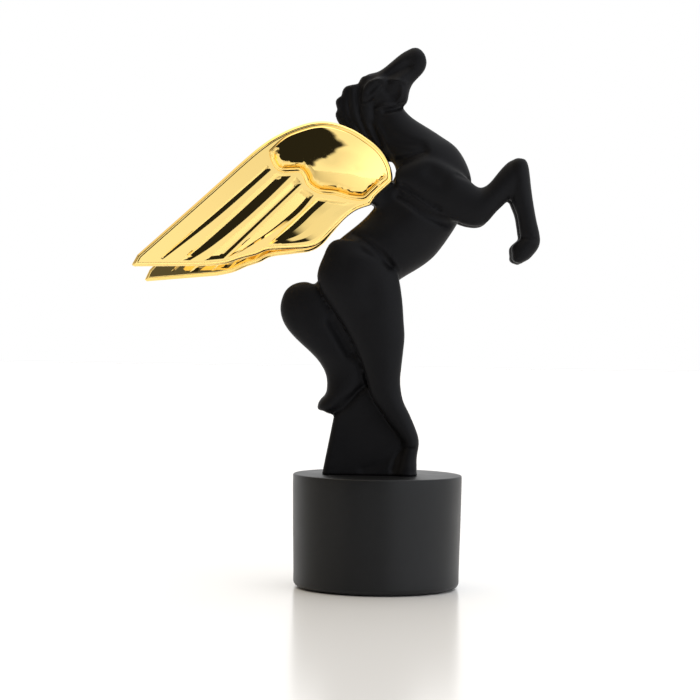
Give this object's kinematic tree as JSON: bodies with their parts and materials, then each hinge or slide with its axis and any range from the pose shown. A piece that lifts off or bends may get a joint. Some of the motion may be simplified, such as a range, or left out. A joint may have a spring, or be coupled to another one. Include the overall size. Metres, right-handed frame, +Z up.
{
  "type": "figure trophy",
  "caption": "Rearing winged horse figure in satin black with mirror-gold wings, bolted to a round weighted black plinth.",
  "frame": {"origin": "centre of the plinth's underside, on the felt face that stands on the surface", "axes": "+Z up, +X to the side the horse faces, +Y towards its left wing"},
  "size_m": [0.2226, 0.094, 0.3006],
  "materials": {
    "plinth_black": "semi-gloss moulded black",
    "ballast_iron": "as cast",
    "cover_black": "matte moulded",
    "zinc_steel": "zinc plated",
    "felt_black": "pressed felt",
    "insert_brass": "turned",
    "figure_black": "satin black lacquer on cast resin",
    "wing_gold": "mirror gold electroplate on moulded plastic"
  },
  "bodies": {
    "root": {"plinth_shell": "plinth_black", "ballast_weight": "ballast_iron", "bottom_cover": "cover_black", "cover_screws": "zinc_steel", "base_felt": "felt_black", "figure_bolt": "zinc_steel", "plain_washer": "zinc_steel", "spring_washer": "zinc_steel", "threaded_insert": "insert_brass", "locating_pins": "zinc_steel", "horse_body": "figure_black", "right_foreleg": "figure_black", "left_foreleg": "figure_black", "foreleg_dowels": "zinc_steel", "right_wing": "wing_gold", "left_wing": "wing_gold", "wing_dowels": "zinc_steel"}
  },
  "joints": []
}
